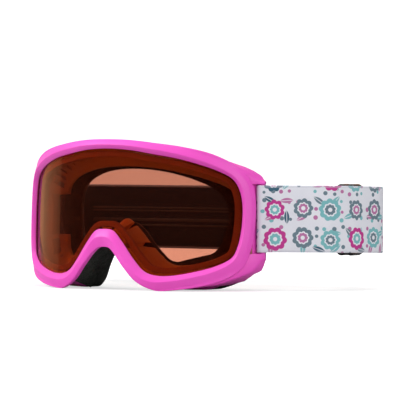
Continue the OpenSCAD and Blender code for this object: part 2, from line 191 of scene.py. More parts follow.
# %% [markdown]
# ## The outlines
# Seen from the front, everything on this goggle follows one closed line: the edge of the lens
# opening. The rim, the flange and the face opening are looser or tighter copies. Each is a
# smooth curve through a few chosen points of its right half, mirrored to the left. A place on
# any of them is one number k, from 0 at the brow to 21 at the nose and back up to 42.

# %% Outlines by k
OPENING = [(0, 74.5), (14, 73.8), (28, 71.6), (40, 69.4), (51, 66.1), (59, 62.7), (64.5, 59),
           (67.3, 54), (68.8, 47), (69.1, 39), (68.7, 31), (67.6, 23.5), (65.2, 17.3), (58.5, 13),
           (49, 10), (39, 8.2), (31, 8.2), (24.5, 10.5), (18.4, 16.8), (11.7, 25.3), (6, 31.2),
           (0, 32.2)]
EDGE = [(0, 79.6), (14.5, 79.2), (29, 77.5), (41.5, 75), (53, 71.5), (62, 67), (68.5, 61.8),
        (72.3, 55.5), (73.8, 47.5), (74, 39), (73.6, 30.5), (72.2, 21.5), (68.8, 13), (60.5, 7),
        (50.3, 3.6), (39.5, 1.4), (30, 0.8), (21, 4.8), (13.4, 12.6), (7.9, 18.8), (3.8, 22.2),
        (0, 22.8)]
STEP = [(0, 78.9), (14.4, 78.5), (29.2, 77.3), (42.5, 75.4), (54.7, 72.3), (64, 67.6),
        (69.5, 62.3), (72.5, 55.7), (73.6, 47.5), (73.8, 39), (73.4, 30.5), (72.4, 21),
        (69.8, 12), (62.5, 5.8), (52, 2.4), (40.5, 0.6), (30.3, 0.4), (20.8, 5), (13.3, 12.8),
        (7.9, 19), (3.8, 22.3), (0, 23)]
FLANGE = [(0, 76.5), (14, 75.9), (28, 74), (40, 71.2), (50, 67.4), (57.5, 62.8), (62, 57.5),
          (64.5, 51.5), (65.7, 45), (66, 38), (65.7, 31), (64.5, 23.5), (61.5, 14.5), (56, 5.5),
          (47.5, 0.8), (38, -0.6), (29.5, -0.4), (23.2, 4), (18.5, 12.5), (13, 20.5), (7, 27.5),
          (0, 30)]
SHELF = [(0, 65), (12, 64.6), (23.5, 63.3), (33, 61.3), (42, 58.8), (50, 55.5), (54.8, 52.3),
         (57.3, 48), (58.3, 43), (58.6, 38), (58.5, 32.5), (58, 26.5), (56.3, 20.5), (51, 16.6),
         (43.5, 14.5), (36, 13.3), (30, 12.8), (24.8, 14.2), (19.5, 18.8), (14, 24.6), (8, 31.4),
         (0, 37.3)]
FACE = [(0, 63.2), (9.5, 62.8), (19, 61.6), (28, 59.4), (35.5, 56.7), (41.5, 53.6), (45.5, 50),
        (47.7, 46), (48.8, 42), (49, 38), (48.2, 33.5), (46.8, 28.5), (45.2, 23.5), (42, 19.6),
        (36.5, 18), (30.5, 16.4), (24.8, 15), (20.8, 16.1), (17.5, 19), (12.8, 24), (7.2, 31),
        (0, 35.4)]


def spline(half):
    """A closed curve through the half's points and their mirror, as a function of k."""
    pts = np.array(half + [(-x, z) for x, z in half[-2:0:-1]], float)
    n = len(pts)

    def at(k):
        k = np.atleast_1d(np.asarray(k, float)) % n
        i, u = np.floor(k).astype(int), (k - np.floor(k))[:, None]
        a, b, c, d = (pts[(i + j) % n] for j in (-1, 0, 1, 2))
        return 0.5 * (2 * b + (c - a) * u + (2 * a - 5 * b + 4 * c - d) * u ** 2
                      + (3 * b - a - 3 * c + d) * u ** 3)
    return at


opening, edge, step, flange, shelf, face = (
    spline(half) for half in (OPENING, EDGE, STEP, FLANGE, SHELF, FACE))
TURN = 2 * (len(OPENING) - 1)

# %% [markdown]
# ## The two bent surfaces
# The lens is bent round a cylinder that leans back by three degrees, and the face side round a
# tighter upright one. Two functions give the depth of each at any place of the front view.

# %% Lens and face cylinders
LENS_R, LEAN, Z_MID = 98.0, math.radians(3), 38.0
FACE_R, FACE_Y = 78.0, 27.0
FLEECE, FOAM, FLANGE_T, TOUCH = 1.5, 8.5, 2.0, 0.1
RIDGE, BROW = 2.6, 2.0


def y_lens(r, p):
    return (LENS_R + (p[..., 1] - Z_MID) * math.sin(LEAN)
            - np.sqrt(np.maximum(r * r - p[..., 0] ** 2, 0))) / math.cos(LEAN)


def y_face(r, p):
    return FACE_Y + FACE_R - np.sqrt(r * r - p[..., 0] ** 2)


def place(p, y):
    y = np.broadcast_to(y, p.shape[:-1])
    return np.stack([p[..., 0], y, p[..., 1]], -1)


def on_lens(p, r): return place(p, y_lens(r, p))
def on_face(p, r): return place(np.stack([p[..., 0], np.maximum(p[..., 1], 0.3)], -1), y_face(r, p))


K_FINE = np.arange(0, TURN, 0.05)
ridge_line = (opening(K_FINE) + edge(K_FINE)) / 2
FRONT_Y = y_lens(LENS_R + RIDGE, ridge_line).min()
SHIFT = np.array([0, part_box("frame")[0][1] / MM - FRONT_Y, 0])
print("front of the rim at y =", round(float(FRONT_Y), 3), "shift", SHIFT)

# %% [markdown]
# ## From points to pieces
# All shapes are worked out in millimetres with y = 0 at the front of the lens. `new_object` moves
# them to their place and makes the mesh in metres; `dress` gives it its material and rides it on
# its body.

# %% Mesh helpers
def new_object(name, verts, faces, smooth=True):
    mesh = bpy.data.meshes.new(name)
    points = (np.asarray(verts, float).reshape(-1, 3) + SHIFT) * MM
    mesh.from_pydata([tuple(v) for v in points], [], [tuple(int(i) for i in f) for f in faces])
    bm = bmesh.new()
    bm.from_mesh(mesh)
    bmesh.ops.remove_doubles(bm, verts=bm.verts, dist=1e-6)
    bmesh.ops.recalc_face_normals(bm, faces=bm.faces)
    bm.to_mesh(mesh)
    bm.free()
    obj = add_object(name, mesh)
    if smooth:
        mesh.shade_smooth()
        mesh.set_sharp_from_angle(angle=math.radians(32))
    return obj


def settle(obj):
    """Turn live modifiers into a plain mesh."""
    graph = bpy.context.evaluated_depsgraph_get()
    mesh = bpy.data.meshes.new_from_object(obj.evaluated_get(graph))
    obj.modifiers.clear()
    old, obj.data = obj.data, mesh
    bpy.data.meshes.remove(old)
    return obj


def bevel(obj, width, segments=2, angle=28):
    m = obj.modifiers.new("bevel", "BEVEL")
    m.width, m.segments, m.angle_limit = width * MM, segments, math.radians(angle)
    m.limit_method, m.use_clamp_overlap = "ANGLE", True
    settle(obj)
    obj.data.shade_smooth()
    obj.data.set_sharp_from_angle(angle=math.radians(40))
    return obj


def dress(obj, material, body, slot, *nodes):
    obj.data.materials.clear()
    obj.data.materials.append(material)
    if body:
        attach(obj, body)
    if nodes:
        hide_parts(*nodes)
    print(obj.name, len(obj.data.polygons), "faces")
    return obj

# %% [markdown]
# ## The moulded frame
# One soft moulding does four jobs: a raised rim round the lens, a groove that holds the lens
# edge, a wall that reaches back, and a flange for the foam. So one section is swept round the
# outline. Its corners are rounded with short curves, which keeps the same count of points at
# every station, and that makes the whole frame an even grid of quads.

# %% Frame section
LENS_T, SPACER_T, INNER_T = 1.3, 2.5, 0.8
LIP, GROOVE, CLEAR = 0.9, 2.2, 0.1
FOAM_BACK = FACE_R + FLEECE
FOAM_FRONT = FOAM_BACK + FOAM
FLANGE_BACK = FOAM_FRONT + TOUCH
FLANGE_FRONT = FLANGE_BACK + FLANGE_T
GROOVE_BACK = LENS_R - LENS_T - 2 * CLEAR
LIP_BACK = GROOVE_BACK - 1.5
INNER_BACK = LENS_R - LENS_T - SPACER_T - INNER_T
SHELF_R = 86.3


def mix(a, b, t):
    t = np.asarray(t, float)
    t = t[:, None] if t.ndim == 1 else t
    return a * (1 - t) + b * t


def across(k):
    """Unit direction from the opening to the edge, and how much of it points sideways."""
    d = edge(k) - opening(k)
    w = np.linalg.norm(d, axis=1)
    return d / w[:, None], np.abs(d[:, 0]) / w


def wall_front(k):
    s = across(k)[1]
    y = y_lens(LENS_R + BROW, edge(k)) + 5.2 - 0.3 * s
    return place(mix(opening(k), edge(k), 0.6 - 0.3 * s), y)


def wall_rear(k):
    return on_face(flange(k), FLANGE_FRONT)


def rounded(corners, radii, parts):
    """Corners (stations, corners, 3) with each corner replaced by a short curve."""
    out, m = [], corners.shape[1]
    for j in range(m):
        p, before, after = corners[:, j], corners[:, j - 1], corners[:, (j + 1) % m]
        if not parts[j]:
            out.append(p)
            continue
        ends = []
        for q in (before, after):
            length = np.linalg.norm(q - p, axis=1)[:, None]
            ends.append(p + (q - p) * np.minimum(radii[j] / np.maximum(length, 1e-6), 0.46))
        for t in np.linspace(0, 1, parts[j] + 1):
            out.append(ends[0] * (1 - t) ** 2 + p * 2 * t * (1 - t) + ends[1] * t * t)
    return np.stack(out, 1)


def frame_section(k):
    a, b, s2, f, g = opening(k), edge(k), step(k), flange(k), shelf(k)
    d, s = across(k)
    y = y_lens(LENS_R + BROW, b)
    lip, bottom = a - d * LIP, a + d * GROOVE
    rows = [
        (on_lens(a, LENS_R + CLEAR), 0, 0),
        (on_lens(a, LENS_R + 0.6), 0.3, 2),
        (on_lens(mix(a, b, 0.42 + 0.1 * s), LENS_R + RIDGE + 0.5 * s), 0.4, 3),
        (place(b, y + 1.6 - 2.6 * s), 0.8, 3),
        (place(mix(b, s2, 0.5), y + 1.5 - 0.8 * s), 0.4, 2),
        (place(s2, y + 1.8), 0.5, 2),
        (place(s2, y + 4.4 - 1.7 * s), 0.6, 2),
        (wall_front(k), 0.8, 3),
        (wall_rear(k), 0.5, 2),
        (on_face(f, FLANGE_BACK), 0.3, 2),
        (on_face(g, SHELF_R - FLANGE_T), 0.3, 2),
        (on_face(g, SHELF_R), 0.5, 3),
        (on_face(mix(f, g, 0.45), FLANGE_FRONT + 1.5), 2.5, 4),
        (on_lens(mix(a, b, 0.25 - 0.3 * s), INNER_BACK - 0.3), 0.8, 3),
        (on_lens(lip, LIP_BACK), 0.4, 2),
        (on_lens(lip, GROOVE_BACK), 0.3, 1),
        (on_lens(bottom, GROOVE_BACK), 0, 0),
        (on_lens(bottom, LENS_R + CLEAR), 0, 0),
    ]
    return rounded(np.stack([r[0] for r in rows], 1), [r[1] for r in rows], [r[2] for r in rows])


K_FRAME = np.arange(0, TURN, 0.125)
shell = frame_section(K_FRAME)
print("frame section points", shell.shape)

# %% [markdown]
# ## Ears for the strap
# On each side an upper and a lower ear sweep back from the rim and carry a bar between them,
# and the strap is threaded round that bar. An ear is a short bent beam: here a rounded
# rectangle swept along the curve of the lens and then straight toward the bar.

# %% Ears and bars
STRAP_W, STRAP_T, STRAP_Z = 35.0, 1.4, 37.8
LEAVE = math.radians(38)
ALONG = np.array([math.cos(LEAVE), math.sin(LEAVE)])
INWARD = np.array([-math.sin(LEAVE), math.cos(LEAVE)])
BAR = np.array([75.2, 37.4])
GAP = 2 * STRAP_T + 1.35
BAR_HALF, BAR_CLEAR = 1.5, 0.25
BAR_R = (GAP - STRAP_T) / 2 - BAR_CLEAR
ROOM = STRAP_W / 2 + 0.6

EAR_END = (77.2, 36.6)


def ear_path(r, xs, *ends):
    return [(x, float(y_lens(LENS_R + r, np.array([x, Z_MID])))) for x in xs] + list(ends)


front_path = ear_path(0.5, (50, 54, 58, 62, 66, 69)) + ear_path(-0.3, (71.5, 73), EAR_END)
BAR_ENDS = (tuple(BAR + INWARD * 4.6), tuple(BAR + ALONG * 2 + INWARD * 1.6))
rear_high = ear_path(-6, (50, 54, 58, 62, 66, 69, 70.5), *BAR_ENDS)
rear_low = (ear_path(-13, (50, 54, 58, 62)) + ear_path(-9, (66,))
            + ear_path(-6, (69.5, 70.5), *BAR_ENDS))
TOP_LINE = [(50, 71.4), (54, 70), (60.4, 67.9), (66.4, 65.1), (69.3, 63.2), (72.1, 60.6),
            (74, 58.5), (75.6, 57.4), (78, 57)]
TOP_INSIDE = [(50, 71), (52.6, 70), (61.4, 65.8), (67.7, 60.9), (71.2, 56.2), (71.7, 55.9),
              (78, 55.9)]
LOW_LINE = [(50, 1.9), (57.6, 3.2), (61.9, 4.7), (67.7, 7.4), (72.1, 10.2), (74.1, 13.2),
            (75.6, 16.2), (78, 17.4)]
LOW_INSIDE = [(50, 3.6), (60.1, 7.6), (68.1, 13.9), (71.2, 19.4), (71.7, 19.7), (78, 19.7)]


def walk(path, count):
    """Places evenly spaced along a polyline."""
    p = np.array(path, float)
    s = np.concatenate([[0], np.cumsum(np.linalg.norm(np.diff(p, axis=0), axis=1))])
    t = np.linspace(0, s[-1], count)
    return np.stack([np.interp(t, s, p[:, i]) for i in range(p.shape[1])], 1)


def ear(high, side):
    n = 34
    f, r = walk(front_path, n), walk(rear_high if high else rear_low, n)
    outer, inner = (np.array(line, float) for line in
                    ((TOP_LINE, TOP_INSIDE) if high else (LOW_LINE, LOW_INSIDE)))

    def corner(p, line):
        return np.stack([p[:, 0] * side, p[:, 1], np.interp(p[:, 0], line[:, 0], line[:, 1])], 1)
    box = np.stack([corner(f, outer), corner(f, inner), corner(r, inner), corner(r, outer)], 1)
    return tube(rounded(box, [1.6, 0.4, 0.5, 0.8], [4, 2, 2, 3]))


def web(side):
    """The plate between the ears, behind which the strap goes round its bar."""
    plan = np.array([(69.8, 33.8), (71.65, 33.8), (71.65, 41.2), (68.0, 42.0)])
    rows = [np.concatenate([plan, np.full((4, 1), z)], 1)
            for z in np.linspace(STRAP_Z - ROOM - 1, STRAP_Z + ROOM + 1, 5)]
    pts = rounded(np.stack(rows), [0.4, 0.8, 0.8, 0.4], [2, 3, 3, 2])
    pts[..., 0] *= side
    return tube(pts)


def ring(pts, gap=0):
    """Verts and faces of a closed sweep, (stations, points, 3)."""
    n, m = pts.shape[:2]
    return pts.reshape(-1, 3), [(i * m + j, i * m + (j + 1) % m, (i + 1) % n * m + (j + 1) % m,
                                 (i + 1) % n * m + j) for i in range(n - gap) for j in range(m)]


def tube(pts):
    """An open sweep with capped ends."""
    verts, faces = ring(pts, 1)
    n, m = pts.shape[:2]
    return verts, faces + [tuple(range(m)), tuple(reversed(range((n - 1) * m, n * m)))]


def bar(side):
    a = np.linspace(0, 2 * math.pi, 20, endpoint=False)
    shape = (BAR + np.outer(np.sign(np.cos(a)) * (BAR_HALF - BAR_R), ALONG)
             + BAR_R * (np.outer(np.cos(a), ALONG) + np.outer(np.sin(a), INWARD)))
    rows = [np.concatenate([shape, np.full((20, 1), z)], 1)
            for z in np.linspace(STRAP_Z - ROOM - 1, STRAP_Z + ROOM + 1, 6)]
    pts = np.stack(rows)
    pts[..., 0] *= side
    return tube(pts)


def joined(parts):
    verts, faces, base = [], [], 0
    for v, f in parts:
        verts.append(v)
        faces += [tuple(i + base for i in q) for q in f]
        base += len(v)
    return np.concatenate(verts), faces


# %% [markdown]
# ## Openings in the frame
# Air has to reach the lens, or it fogs. The wall has slots at the brow, the cheeks and the
# nose, and each temple has a tall window with small slots above and below it. They are cut
# from the finished sweep by boxes that point from the lens toward the face.

# %% Slots
CENTRE = np.array([0.0, 53.0])


def wall_y(x, z, share):
    p = np.array([float(x), float(z)])
    return float(y_lens(LENS_R - 4.5, p)) * (1 - share) + float(y_face(FLANGE_FRONT, p)) * share


def box_at(centre, size, turn=0.0):
    c, s = math.cos(turn), math.sin(turn)
    corners = []
    for dx in (-0.5, 0.5):
        for dy in (-0.5, 0.5):
            for dz in (-0.5, 0.5):
                x, y, z = dx * size[0], dy * size[1], dz * size[2]
                corners.append((centre[0] + c * x - s * y, centre[1] + s * x + c * y,
                                centre[2] + z))
    faces = [(0, 1, 3, 2), (4, 6, 7, 5), (0, 4, 5, 1), (2, 3, 7, 6), (0, 2, 6, 4), (1, 5, 7, 3)]
    return np.array(corners), faces


def slot_box(x, z0, z1, w, room):
    z = z0 if z0 < 40 else z1
    y0, y1 = wall_y(x + w / 2, z, room), wall_y(x - w / 2, z, 1 - room)
    y1 = max(y1, y0 + 2)
    return box_at((x, (y0 + y1) / 2, (z0 + z1) / 2), (w, y1 - y0, z1 - z0))


def shelf_slot(k, t, deep, w):
    """A slot right through the inner shelf, pointing from the lens to the face opening."""
    a, g = opening(k)[0], shelf(k)[0]
    c = a * (1 - t) + g * t
    turn_by = math.atan2(g[1] - a[1], g[0] - a[0])
    verts, faces = box_at((0, 0, 0), (deep, 34, w))
    co, si = math.cos(turn_by), math.sin(turn_by)
    x, z = verts[:, 0] * co - verts[:, 2] * si, verts[:, 0] * si + verts[:, 2] * co
    y = verts[:, 1] + float(y_lens(LIP_BACK, c)) + 15
    return np.stack([x + c[0], y, z + c[1]], 1), faces


SHELF_SLOTS = [(3.06, 0.41, 1.6, 0.9), (3.68, 0.45, 3.4, 1.3), (4.28, 0.4, 4.4, 1.7),
               (4.94, 0.48, 5.8, 2.4), (5.92, 0.56, 5.8, 3.6), (11.28, 0.54, 3.2, 4.6),
               (12.02, 0.52, 3, 3.6), (12.68, 0.49, 1.4, 1), (18.8, 0.75, 6, 2.4),
               (20.4, 0.8, 7, 2.4)]
slots = [shelf_slot(*row) for row in SHELF_SLOTS]
WINDOW = (43.5, 64.8, 27.5, 49.3)
slots.append(box_at(((WINDOW[0] + WINDOW[1]) / 2, 46, (WINDOW[2] + WINDOW[3]) / 2),
                    (WINDOW[1] - WINDOW[0], 40, WINDOW[3] - WINDOW[2])))
for x in (7, 20, 33, 45):
    slots.append(slot_box(x, 66 - (x / 6 if x > 30 else 0), 84, 9 - (2 if x > 40 else 0), 0.3))
for x in (36, 47):
    slots.append(slot_box(x, -2, 11, 7, 0.34))
slots = joined([(v * (m, 1, 1), f) for v, f in slots for m in (-1, 1)])

frame_shape = new_object("goggle_frame", *ring(shell))
cutter = new_object("cutter", *slots, smooth=False)
cut = frame_shape.modifiers.new("slots", "BOOLEAN")
cut.object, cut.operation, cut.solver = cutter, "DIFFERENCE", "EXACT"
cut.use_self = True
settle(frame_shape)
bpy.data.objects.remove(cutter)
ears = new_object("ears", *joined([ear(h, s) for h in (True, False) for s in (-1, 1)]
                                  + [web(s) for s in (-1, 1)] + [bar(s) for s in (-1, 1)]))
bm = bmesh.new()
bm.from_mesh(frame_shape.data)
bm.from_mesh(ears.data)
bm.to_mesh(frame_shape.data)
bm.free()
bpy.data.objects.remove(ears)
frame_shape.data.shade_smooth()
frame_shape.data.set_sharp_from_angle(angle=math.radians(32))
NOSE_HALF, NOSE_TOP = 32, 40
WALL_SHARE, OUTWARD, EDGE_FADE = 0.64, 0.25, 0.6


# Painted shade: the share below marks the frame's inner wall, which the material paints tan. The
# moulding is the same pink inside; the tan stands in for the dim, copper-filtered light that
# reaches the wall through the lens.
def inside_share(points, normals):
    """1 inside the lens opening, 0 outside, as seen from the front. A looser line holds
    behind the lens, where the wall is thick, and a face there that looks outward is skin,
    save round the nose, where such faces are the slots' own."""
    k = np.arange(0, TURN, 0.1)
    p = points[:, (0, 2)] - CENTRE
    turn, reach = np.arctan2(p[:, 0], p[:, 1]), []
    for line in (opening(k) - CENTRE, mix(opening(k), step(k), WALL_SHARE) - CENTRE):
        a = np.arctan2(line[:, 0], line[:, 1])
        order = np.argsort(a)
        reach.append(np.interp(turn, a[order], np.linalg.norm(line, axis=1)[order]))
    behind = points[:, 1] > y_lens(GROOVE_BACK, points[:, (0, 2)])
    r = np.linalg.norm(p, axis=1)
    outward = (normals[:, (0, 2)] * p).sum(axis=1) / r > OUTWARD
    outward &= (np.abs(points[:, 0]) > NOSE_HALF) | (points[:, 2] > NOSE_TOP)
    share = np.clip((np.where(behind, reach[1], reach[0]) - r) / EDGE_FADE + 0.2, 0, 1)
    return np.where(behind & outward, 0, share)


quads = frame_shape.data.polygons
mark = frame_shape.data.attributes.new("inner_wall", "FLOAT", "FACE")
mark.data.foreach_set("value", inside_share(
    np.array([q.center for q in quads]) / MM - SHIFT,
    np.array([q.normal for q in quads])).astype(np.float32))
print("frame faces", len(frame_shape.data.polygons))

# %% Frame material
g = Graph("soft_moulding")
grain = g.noise(900.0, 2.0)
cloud = g.noise(26.0, 2.0)
painted_inner_shade = g.value(g.node("ShaderNodeAttribute", {"attribute_name": "inner_wall"}).outputs["Fac"])
# Painted shade: the inner wall is pink like the rest of the frame, and this tan stands in for the
# dim copper light behind the lens.
skin = g.mix(cloud, srgb(232, 74, 188), srgb(243, 90, 203))
g.finish(g.surface(
    Base_Color=g.mix(painted_inner_shade, skin, srgb(204, 174, 104)),
    Roughness=grain * 0.08 + 0.4, Normal=g.bump(grain, 0.0001, 0.35),
    Specular_IOR_Level=0.35))
dress(frame_shape, g.material, "goggle", "frame_tpu", "frame")

# %% [markdown]
# ## The double lens
# The outer lens is copper coloured and a little mirrored. The clear inner lens stands behind
# it on a thin foam spacer, and the still air between the two keeps the inner one warm. Light
# passes to the inside through a plain transparent mix for lamp rays, or the foam would be black.

# %% Lenses
def lens_sheet(offset, r_front, r_back, rings=16):
    k = np.arange(0, TURN, 0.2)
    d = across(k)[0]
    line = opening(k) + d * offset
    n = len(k)
    verts, faces = [], []
    for r in (r_front, r_back):
        for t in np.linspace(1, 0.06, rings):
            verts.append(on_lens(CENTRE + (line - CENTRE) * t, r))
        verts.append(on_lens(CENTRE[None, :], r))
    side = rings * n + 1
    for h in range(2):
        b = h * side
        for j in range(rings - 1):
            faces += [(b + j * n + i, b + j * n + (i + 1) % n, b + (j + 1) * n + (i + 1) % n,
                       b + (j + 1) * n + i) for i in range(n)]
        faces += [(b + (rings - 1) * n + i, b + (rings - 1) * n + (i + 1) % n, b + rings * n)
                  for i in range(n)]
    faces += [(i, (i + 1) % n, side + (i + 1) % n, side + i) for i in range(n)]
    return np.concatenate(verts), faces


def glass(name, colour, ior, rough, tint, haze):
    gr = Graph(name)
    smear = gr.noise(60.0, 3.0)
    body = gr.surface(Base_Color=colour, Transmission_Weight=1.0, IOR=ior,
                      Roughness=smear * haze + rough)
    body.inputs["Specular Tint"].default_value = (*tint, 1)
    clear = gr.node("ShaderNodeBsdfTransparent", None, {"Color": (*colour, 1)})
    ray = gr.node("ShaderNodeLightPath").outputs["Is Shadow Ray"]
    return gr.finish(gr.node("ShaderNodeMixShader", None,
                             {0: ray, 1: body.outputs[0], 2: clear.outputs[0]}))


outer = new_object("lens_outer", *lens_sheet(1.9, LENS_R, LENS_R - LENS_T))
dress(outer, glass("copper_lens", (0.5, 0.19, 0.12), 1.16, 0.01, (0.9, 0.5, 0.3), 0.01),
      "goggle", "lens_copper", "outer_lens")
SPACER_BACK = LENS_R - LENS_T - SPACER_T
inner = new_object("lens_inner", *lens_sheet(-LIP - 0.35, SPACER_BACK - 0.02,
                                             SPACER_BACK - INNER_T))
dress(inner, glass("clear_lens", (0.96, 0.95, 0.95), 1.2, 0.01, (1.0, 1.0, 1.0), 0.01),
      "goggle", "lens_clear", "inner_lens")


def band(rows, radii, parts, k=None):
    """A closed ring round the outline from four corner functions of k."""
    k = np.arange(0, TURN, 0.125) if k is None else k
    return rounded(np.stack([r(k) for r in rows], 1), radii, parts)


def inside(k, mm): return opening(k) - across(k)[0] * mm


spacer = new_object("lens_gap_foam", *ring(band(
    [lambda k: on_lens(inside(k, LIP + 0.35), LENS_R - LENS_T - 0.05),
     lambda k: on_lens(inside(k, LIP + 0.35), SPACER_BACK + 0.05),
     lambda k: on_lens(inside(k, LIP + 3.3), SPACER_BACK + 0.05),
     lambda k: on_lens(inside(k, LIP + 3.3), LENS_R - LENS_T - 0.05)], [0.2] * 4, [1] * 4)))
g = Graph("spacer_foam")
pores = g.noise(1400.0, 2.0)
g.finish(g.surface(Base_Color=g.mix(pores, srgb(134, 108, 80), srgb(166, 134, 100)),
                   Roughness=0.8, Normal=g.bump(pores, 0.0003, 0.6)))
dress(spacer, g.material, "goggle", "foam_black", "lens_spacer")

# %% [markdown]
# ## Foam and fleece
# The face side is a thick open-cell foam with a thin fleece glued to it. Both are cut with a
# die, so their edges are square, softened only by use. Thin strips of the same foam cover the
# vents from outside and keep snow out.

# %% Foams
def foam_material(name, dark, light, scale, depth):
    gr = Graph(name)
    cells = gr.node("ShaderNodeTexVoronoi", {"feature": "F1"},
                    {"Vector": gr.object_place(), "Scale": scale})
    pits = gr.value(cells.outputs["Distance"])
    blot = gr.noise(scale * 0.25, 4.0, rough=0.7)
    tone = (pits * 0.5 + blot * 1.5 - 0.55).clamp()
    return gr.finish(gr.surface(
        Base_Color=gr.mix(tone, dark, light), Roughness=tone * 0.1 + 0.85,
        Specular_IOR_Level=0.2, Normal=gr.bump(pits + blot, depth, 0.8)))


open_foam = foam_material("open_foam", srgb(28, 30, 28), srgb(66, 69, 63), 700.0, 0.0008)
foam = new_object("face_pad", *ring(band(
    [lambda k: on_face(flange(k), FOAM_FRONT - 0.03), lambda k: on_face(flange(k), FOAM_BACK),
     lambda k: on_face(mix(face(k), flange(k), 0.04), FOAM_BACK),
     lambda k: on_face(mix(shelf(k), flange(k), 0.05), SHELF_R - FLANGE_T - TOUCH)],
    [0.9, 0.6, 0.6, 0.8], [3, 2, 2, 3])))
dress(foam, open_foam, "goggle", "foam_black", "face_foam")

g = Graph("fleece")
nap = g.noise(1600.0, 4.0, rough=0.7)
fibres = g.noise(260.0, 5.0, rough=0.8)
g.finish(g.surface(Base_Color=g.mix(fibres, srgb(24, 24, 26), srgb(52, 52, 56)),
                   Roughness=nap * 0.1 + 0.9, Sheen_Weight=0.35, Sheen_Roughness=0.5,
                   Specular_IOR_Level=0.1, Normal=g.bump(nap + fibres, 0.0006, 0.9)))
fleece = new_object("face_fleece_layer", *ring(band(
    [lambda k: on_face(mix(flange(k), face(k), 0.03), FOAM_BACK - 0.03),
     lambda k: on_face(mix(flange(k), face(k), 0.03), FACE_R),
     lambda k: on_face(mix(face(k), flange(k), 0.03), FACE_R),
     lambda k: on_face(mix(face(k), flange(k), 0.03), FOAM_BACK - 0.03)],
    [0.3, 0.7, 0.7, 0.3], [2, 3, 3, 2])))
dress(fleece, g.material, "goggle", "fleece_black", "face_fleece")


def strip(name, node, k0, k1, u0, u1, thick=2.0):
    k = np.linspace(k0, k1, max(int((k1 - k0) * 5), 6))
    a, b = wall_front(k), wall_rear(k)
    q = wall_front(k + 0.3) - wall_front(k - 0.3)
    n = np.cross(q, b - a)
    n /= np.linalg.norm(n, axis=1)[:, None]

    def at(u, up): return a * (1 - u) + b * u + n * up
    box = np.stack([at(u0, 0.3), at(u0, 0.3 + thick), at(u1, 0.3 + thick), at(u1, 0.3)], 1)
    obj = new_object(name, *tube(rounded(box, [0.2, 0.8, 0.8, 0.2], [1, 3, 3, 1])))
    dress(obj, open_foam, "goggle", "foam_black", node)


strip("vent_strip_brow", "vent_foam_brow", -13 / 3, 13 / 3, 0.12, 0.88, 1.4)
strip("vent_strip_nose", "vent_foam_nose", 16.6, 25.4, 0.05, 1.1, 1.2)
strip("vent_strip_cheek_left", "vent_foam_cheek_left", 13, 15, 0.1, 0.5, 1.2)
strip("vent_strip_cheek_right", "vent_foam_cheek_right", 27, 29, 0.1, 0.5, 1.2)
for side, word in ((1, "left"), (-1, "right")):
    xs = np.linspace(57.5, WINDOW[1] - 1.9, 12)
    flat = [np.stack([xs, np.full(12, z)], 1) for z in (WINDOW[2] + 0.3, WINDOW[3] - 0.3)]
    box = np.stack([on_face(flat[0], FLANGE_FRONT), on_face(flat[1], FLANGE_FRONT),
                    on_face(flat[1], FLANGE_BACK + 0.12), on_face(flat[0], FLANGE_BACK + 0.12)], 1)
    box[..., 0] *= side
    pad = new_object("window_pad_" + word, *tube(rounded(box, [0.4] * 4, [2] * 4)))
    dress(pad, open_foam, "goggle", "foam_black", "vent_foam_temple_" + word)

# %% [markdown]
# ## The strap
# The strap is one long elastic ribbon. It leaves the bar on the right, runs round the head,
# turns round the left bar and is sewn to itself there. A shorter inner run on the right ends
# in a loop that holds the adjuster. Each run is a middle line in plan, and the ribbon stands
# upright on that line and hangs a little lower toward the back.

# %% Strap middle lines
DROP, LEAVE_LEN, BEND_R = 1.6, 32.0, 24.0
SIDE, SIDE_LEN, CORNER_R = math.radians(86), 16.0, 16.5
RUN_START = BAR - ALONG * (BAR_HALF - BAR_R) - INWARD * GAP / 2
TURN_MID = BAR - ALONG * (BAR_HALF - BAR_R)
BEND_MID = RUN_START + ALONG * LEAVE_LEN + INWARD * BEND_R
SIDE_START = BEND_MID + BEND_R * np.array([math.sin(SIDE), -math.cos(SIDE)])
CORNER_MID = (SIDE_START + SIDE_LEN * np.array([math.cos(SIDE), math.sin(SIDE)])
              + CORNER_R * np.array([-math.sin(SIDE), math.cos(SIDE)]))
BACK_Y = CORNER_MID[1] + CORNER_R
ADJ_W = 12.5
ADJ_X = CORNER_MID[0] - ADJ_W / 2 - 5.2
SEAM_X = ADJ_X + 10.3
print("back of the strap", round(float(BACK_Y), 2), "adjuster at x", round(float(ADJ_X), 2))


def arc(c, r, a0, a1, n):
    a = np.linspace(a0, a1, n + 1)
    return c + r * np.stack([np.sin(a), -np.cos(a)], 1)


def run(off, s0, x1):
    s = np.linspace(s0, LEAVE_LEN - 1, 8)[:, None]
    straight = RUN_START + INWARD * off + ALONG * s
    back = np.array([(x, BACK_Y - off) for x in np.linspace(CORNER_MID[0], x1, 9)[1:]])
    return np.concatenate([straight, arc(BEND_MID, BEND_R - off, LEAVE, SIDE, 12),
                           arc(CORNER_MID, CORNER_R - off, SIDE, math.pi, 20), back])


FAR = math.radians(54)
FAR_ALONG = np.array([math.cos(FAR), math.sin(FAR)])
FAR_INWARD = np.array([-math.sin(FAR), math.cos(FAR)])
FAR_START = TURN_MID - FAR_INWARD * GAP / 2
rise, reach = BACK_Y - FAR_START[1], CORNER_MID[0] + CORNER_R - FAR_START[0]
FAR_R = ((rise * FAR_ALONG[0] / FAR_ALONG[1] - reach)
         / ((1 + FAR_ALONG[0]) * FAR_ALONG[0] / FAR_ALONG[1] - 1 + FAR_ALONG[1]))
FAR_LEN = (rise - FAR_R * (1 + FAR_ALONG[0])) / FAR_ALONG[1]
FAR_MID = FAR_START + FAR_ALONG * FAR_LEN + FAR_INWARD * FAR_R


